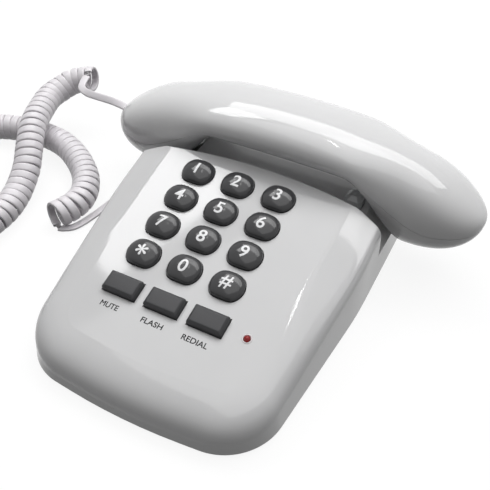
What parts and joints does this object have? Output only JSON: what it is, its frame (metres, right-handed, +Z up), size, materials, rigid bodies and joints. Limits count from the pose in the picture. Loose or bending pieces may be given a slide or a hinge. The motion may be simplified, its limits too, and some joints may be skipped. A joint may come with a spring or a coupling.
{
  "type": "corded desk telephone",
  "caption": "Desk telephone: sloping base with domed push keys and a clear hook plunger, an arched handset across the cradle, and a curly handset cord.",
  "frame": {"origin": "on the ground under the middle of the telephone's box, its free cord left out", "axes": "+X along the handset to the receiver end, +Y to the back of the base, +Z up"},
  "size_m": [0.3192, 0.1824, 0.0684],
  "materials": {
    "shell": "gloss white moulding",
    "bottom_plastic": "fine matt texture",
    "digit_key": "gloss dark grey dome",
    "function_key": "satin dark grey",
    "membrane_rubber": "matt silicone",
    "board": "solder mask",
    "black_plastic": "matt",
    "components": "satin",
    "steel": "zinc plated",
    "lamp": "tinted clear",
    "clear_plastic": "clear moulding",
    "brass": "bare disc",
    "black_rubber": "matt",
    "microphone_can": "drawn can",
    "weight_steel": "cut bar",
    "cord": "satin flexible jacket"
  },
  "bodies": {
    "base": {"base_top_shell": "shell", "base_bottom_shell": "bottom_plastic", "key_membrane": "membrane_rubber", "main_board": "board", "dialler_chip": "black_plastic", "board_components": "components", "board_screws": "steel", "ring_lamp": "lamp", "hook_spring": "steel", "hook_switch": "black_plastic", "hook_board": "board", "hook_board_screws": "steel", "ringer": "brass", "line_jack": "black_plastic", "base_handset_jack": "black_plastic", "base_screws": "steel", "rubber_feet": "black_rubber", "base_plug": "clear_plastic", "cord_coil": "cord", "cord_base_end": "cord"},
    "handset": {"handset_upper_shell": "shell", "handset_lower_shell": "shell", "receiver": "black_plastic", "receiver_gasket": "black_rubber", "microphone": "microphone_can", "microphone_boot": "black_rubber", "handset_weight": "weight_steel", "handset_jack": "black_plastic", "handset_screws": "steel", "handset_plug": "clear_plastic", "cord_handset_end": "cord"},
    "plunger": {"hook_plunger": "clear_plastic"},
    "key_1_body": {"key_1": "digit_key"},
    "key_2_body": {"key_2": "digit_key"},
    "key_3_body": {"key_3": "digit_key"},
    "key_4_body": {"key_4": "digit_key"},
    "key_5_body": {"key_5": "digit_key"},
    "key_6_body": {"key_6": "digit_key"},
    "key_7_body": {"key_7": "digit_key"},
    "key_8_body": {"key_8": "digit_key"},
    "key_9_body": {"key_9": "digit_key"},
    "key_star_body": {"key_star": "digit_key"},
    "key_0_body": {"key_0": "digit_key"},
    "key_hash_body": {"key_hash": "digit_key"},
    "key_mute_body": {"key_mute": "function_key"},
    "key_flash_body": {"key_flash": "function_key"},
    "key_redial_body": {"key_redial": "function_key"}
  },
  "joints": [
    {"name": "handset_lift", "type": "slide", "parent": "base", "child": "handset", "axis": [0, 0, 1], "range_m": [0, 0.08], "deforming": ["cord_handset_end"]},
    {"name": "hook_travel", "type": "slide", "parent": "base", "child": "plunger", "axis": [0, 0, 1], "range_m": [0, 0.004], "deforming": ["hook_spring"]},
    {"name": "key_1_press", "type": "slide", "parent": "base", "child": "key_1_body", "axis": [0, 0.2096, -0.9778], "range_m": [0, 0.0015], "stiffness_N_per_m": 300, "springref_m": -0.002, "deforming": ["key_membrane"]},
    {"name": "key_2_press", "type": "slide", "parent": "base", "child": "key_2_body", "axis": [0, 0.2096, -0.9778], "range_m": [0, 0.0015], "stiffness_N_per_m": 300, "springref_m": -0.002, "deforming": ["key_membrane"]},
    {"name": "key_3_press", "type": "slide", "parent": "base", "child": "key_3_body", "axis": [0, 0.2096, -0.9778], "range_m": [0, 0.0015], "stiffness_N_per_m": 300, "springref_m": -0.002, "deforming": ["key_membrane"]},
    {"name": "key_4_press", "type": "slide", "parent": "base", "child": "key_4_body", "axis": [0, 0.2096, -0.9778], "range_m": [0, 0.0015], "stiffness_N_per_m": 300, "springref_m": -0.002, "deforming": ["key_membrane"]},
    {"name": "key_5_press", "type": "slide", "parent": "base", "child": "key_5_body", "axis": [0, 0.2096, -0.9778], "range_m": [0, 0.0015], "stiffness_N_per_m": 300, "springref_m": -0.002, "deforming": ["key_membrane"]},
    {"name": "key_6_press", "type": "slide", "parent": "base", "child": "key_6_body", "axis": [0, 0.2096, -0.9778], "range_m": [0, 0.0015], "stiffness_N_per_m": 300, "springref_m": -0.002, "deforming": ["key_membrane"]},
    {"name": "key_7_press", "type": "slide", "parent": "base", "child": "key_7_body", "axis": [0, 0.2096, -0.9778], "range_m": [0, 0.0015], "stiffness_N_per_m": 300, "springref_m": -0.002, "deforming": ["key_membrane"]},
    {"name": "key_8_press", "type": "slide", "parent": "base", "child": "key_8_body", "axis": [0, 0.2096, -0.9778], "range_m": [0, 0.0015], "stiffness_N_per_m": 300, "springref_m": -0.002, "deforming": ["key_membrane"]},
    {"name": "key_9_press", "type": "slide", "parent": "base", "child": "key_9_body", "axis": [0, 0.2096, -0.9778], "range_m": [0, 0.0015], "stiffness_N_per_m": 300, "springref_m": -0.002, "deforming": ["key_membrane"]},
    {"name": "key_star_press", "type": "slide", "parent": "base", "child": "key_star_body", "axis": [0, 0.2096, -0.9778], "range_m": [0, 0.0015], "stiffness_N_per_m": 300, "springref_m": -0.002, "deforming": ["key_membrane"]},
    {"name": "key_0_press", "type": "slide", "parent": "base", "child": "key_0_body", "axis": [0, 0.2096, -0.9778], "range_m": [0, 0.0015], "stiffness_N_per_m": 300, "springref_m": -0.002, "deforming": ["key_membrane"]},
    {"name": "key_hash_press", "type": "slide", "parent": "base", "child": "key_hash_body", "axis": [0, 0.2096, -0.9778], "range_m": [0, 0.0015], "stiffness_N_per_m": 300, "springref_m": -0.002, "deforming": ["key_membrane"]},
    {"name": "key_mute_press", "type": "slide", "parent": "base", "child": "key_mute_body", "axis": [0, 0.2096, -0.9778], "range_m": [0, 0.0015], "stiffness_N_per_m": 300, "springref_m": -0.002, "deforming": ["key_membrane"]},
    {"name": "key_flash_press", "type": "slide", "parent": "base", "child": "key_flash_body", "axis": [0, 0.2096, -0.9778], "range_m": [0, 0.0015], "stiffness_N_per_m": 300, "springref_m": -0.002, "deforming": ["key_membrane"]},
    {"name": "key_redial_press", "type": "slide", "parent": "base", "child": "key_redial_body", "axis": [0, 0.2096, -0.9778], "range_m": [0, 0.0015], "stiffness_N_per_m": 300, "springref_m": -0.002, "deforming": ["key_membrane"]}
  ],
  "couplings": [
    {"joint": "hook_travel", "follows": "handset_lift", "ratio": 0.05}
  ]
}
